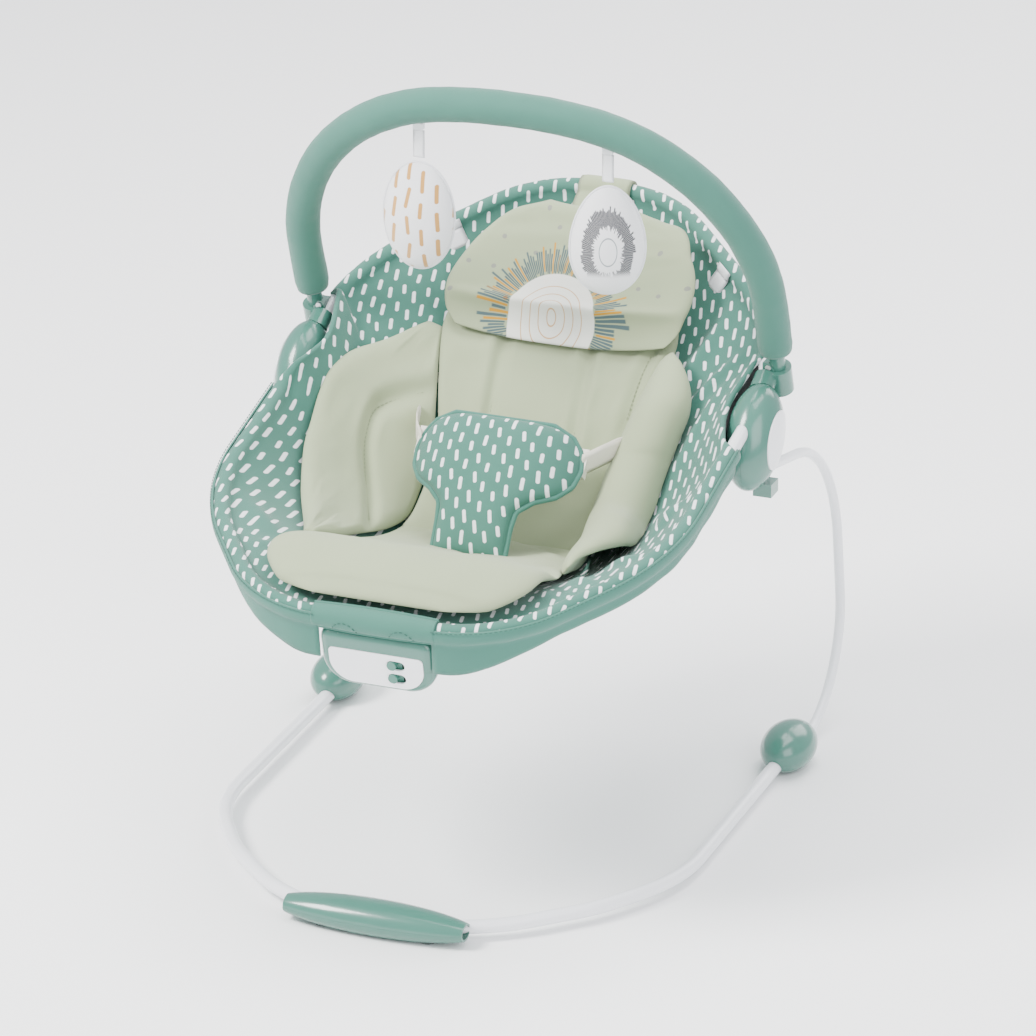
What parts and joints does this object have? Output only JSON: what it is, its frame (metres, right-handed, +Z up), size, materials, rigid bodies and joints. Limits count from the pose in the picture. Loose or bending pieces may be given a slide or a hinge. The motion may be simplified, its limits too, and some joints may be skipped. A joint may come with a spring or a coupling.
{
  "type": "bouncer seat",
  "caption": "Baby bouncer seat on sprung wire risers, with a cloth sling and padded insert, head pillow, crotch harness, lift-off toy arch with hanging toys, and a switched vibration unit.",
  "frame": {"origin": "on the floor under the middle of the overall outline", "axes": "+Z up; the sitter faces -Y; X = 0 is the middle plane, and seen from the front +X is to the right"},
  "size_m": [0.49, 0.6074, 0.6597],
  "materials": {
    "white_tube": "satin powder coat",
    "white_wire": "satin powder coat",
    "sage_plastic": "moulded, semi-gloss",
    "white_plastic": "moulded, semi-gloss",
    "knob_plastic": "moulded, semi-gloss",
    "buckle_plastic": "moulded, matt",
    "sole_rubber": "matt",
    "screw_steel": "zinc plated",
    "sage_sleeve": "plain woven, padded",
    "printed_sage_cloth": "woven, white dashes",
    "beige_cloth": "brushed woven, quilted",
    "printed_beige_cloth": "woven, printed",
    "ribbon": "satin ribbon",
    "beige_strap": "webbing",
    "toy_cloth": "woven, printed",
    "board": "circuit board",
    "cell_case": "plain jacket",
    "motor_steel": "drawn can",
    "speaker_cone": "matt"
  },
  "bodies": {
    "base": {"floor_tube": "white_tube", "front_foot_bottom": "sage_plastic", "front_foot_top": "sage_plastic", "left_rear_foot_bottom": "sage_plastic", "left_rear_foot_top": "sage_plastic", "right_rear_foot_bottom": "sage_plastic", "right_rear_foot_top": "sage_plastic", "rubber_soles": "sole_rubber", "foot_screws": "screw_steel", "left_riser_lower": "white_wire", "right_riser_lower": "white_wire"},
    "seat": {"back_tube": "white_tube", "battery_cells": "cell_case", "battery_door": "sage_plastic", "battery_door_screw": "screw_steel", "circuit_board": "board", "control_lower_shell": "sage_plastic", "control_panel": "white_plastic", "control_upper_shell": "sage_plastic", "crotch_pad": "printed_sage_cloth", "head_pillow": "printed_beige_cloth", "hub_screws": "screw_steel", "insert_back": "beige_cloth", "insert_seat": "beige_cloth", "left_arch_socket": "sage_plastic", "left_buckle_socket": "buckle_plastic", "left_hub_cap": "white_plastic", "left_hub_inner_shell": "sage_plastic", "left_hub_outer_shell": "sage_plastic", "left_insert_wing": "beige_cloth", "left_riser_upper": "white_wire", "left_waist_strap": "beige_strap", "mounting_plate": "sage_plastic", "right_arch_socket": "sage_plastic", "right_buckle_socket": "buckle_plastic", "right_hub_cap": "white_plastic", "right_hub_inner_shell": "sage_plastic", "right_hub_outer_shell": "sage_plastic", "right_insert_wing": "beige_cloth", "right_riser_upper": "white_wire", "right_waist_strap": "beige_strap", "seat_tube": "white_tube", "sling": "printed_sage_cloth", "socket_screws": "screw_steel", "speaker": "speaker_cone", "unit_screws": "screw_steel", "vibration_motor": "motor_steel"},
    "arch": {"arch_tube": "white_tube", "arch_sleeve": "sage_sleeve", "left_arch_plug": "sage_plastic", "right_arch_plug": "sage_plastic", "toy_loops": "ribbon"},
    "left_ribbon_link": {"left_ribbon": "ribbon"},
    "right_ribbon_link": {"right_ribbon": "ribbon"},
    "left_toy_body": {"left_toy": "toy_cloth"},
    "right_toy_body": {"right_toy": "toy_cloth"},
    "upper_switch": {"upper_switch_knob": "knob_plastic"},
    "lower_switch": {"lower_switch_knob": "knob_plastic"},
    "left_plug": {"left_buckle_plug": "buckle_plastic"},
    "right_plug": {"right_buckle_plug": "buckle_plastic"}
  },
  "joints": [
    {"name": "bounce", "type": "hinge", "parent": "base", "child": "seat", "pos_m": [0, 0.29765, 0.11883], "axis": [1, 0, 0], "range_deg": [-4, 8], "stiffness_Nm_per_rad": 160, "springref_deg": -2.71},
    {"name": "arch_lift", "type": "slide", "parent": "seat", "child": "arch", "axis": [0, -0.3338, 0.9426], "range_m": [0, 0.06]},
    {"name": "upper_switch_slide", "type": "slide", "parent": "seat", "child": "upper_switch", "axis": [1, 0, 0], "range_m": [0, 0.007]},
    {"name": "lower_switch_slide", "type": "slide", "parent": "seat", "child": "lower_switch", "axis": [1, 0, 0], "range_m": [0, 0.007]},
    {"name": "left_buckle_release", "type": "slide", "parent": "seat", "child": "left_plug", "axis": [-1, 0, 0], "range_m": [0, 0.02]},
    {"name": "right_buckle_release", "type": "slide", "parent": "seat", "child": "right_plug", "axis": [1, 0, 0], "range_m": [0, 0.02]},
    {"name": "left_ribbon_swing", "type": "hinge", "parent": "arch", "child": "left_ribbon_link", "pos_m": [-0.088, 0.04333, 0.61239], "axis": [1, 0, 0], "range_deg": [-40, 40]},
    {"name": "left_toy_sway", "type": "hinge", "parent": "left_ribbon_link", "child": "left_toy_body", "pos_m": [-0.088, 0.04333, 0.58614], "axis": [0, 1, 0], "range_deg": [-35, 35]},
    {"name": "right_ribbon_swing", "type": "hinge", "parent": "arch", "child": "right_ribbon_link", "pos_m": [0.088, 0.04333, 0.61239], "axis": [1, 0, 0], "range_deg": [-40, 40]},
    {"name": "right_toy_sway", "type": "hinge", "parent": "right_ribbon_link", "child": "right_toy_body", "pos_m": [0.088, 0.04333, 0.58614], "axis": [0, 1, 0], "range_deg": [-35, 35]}
  ]
}
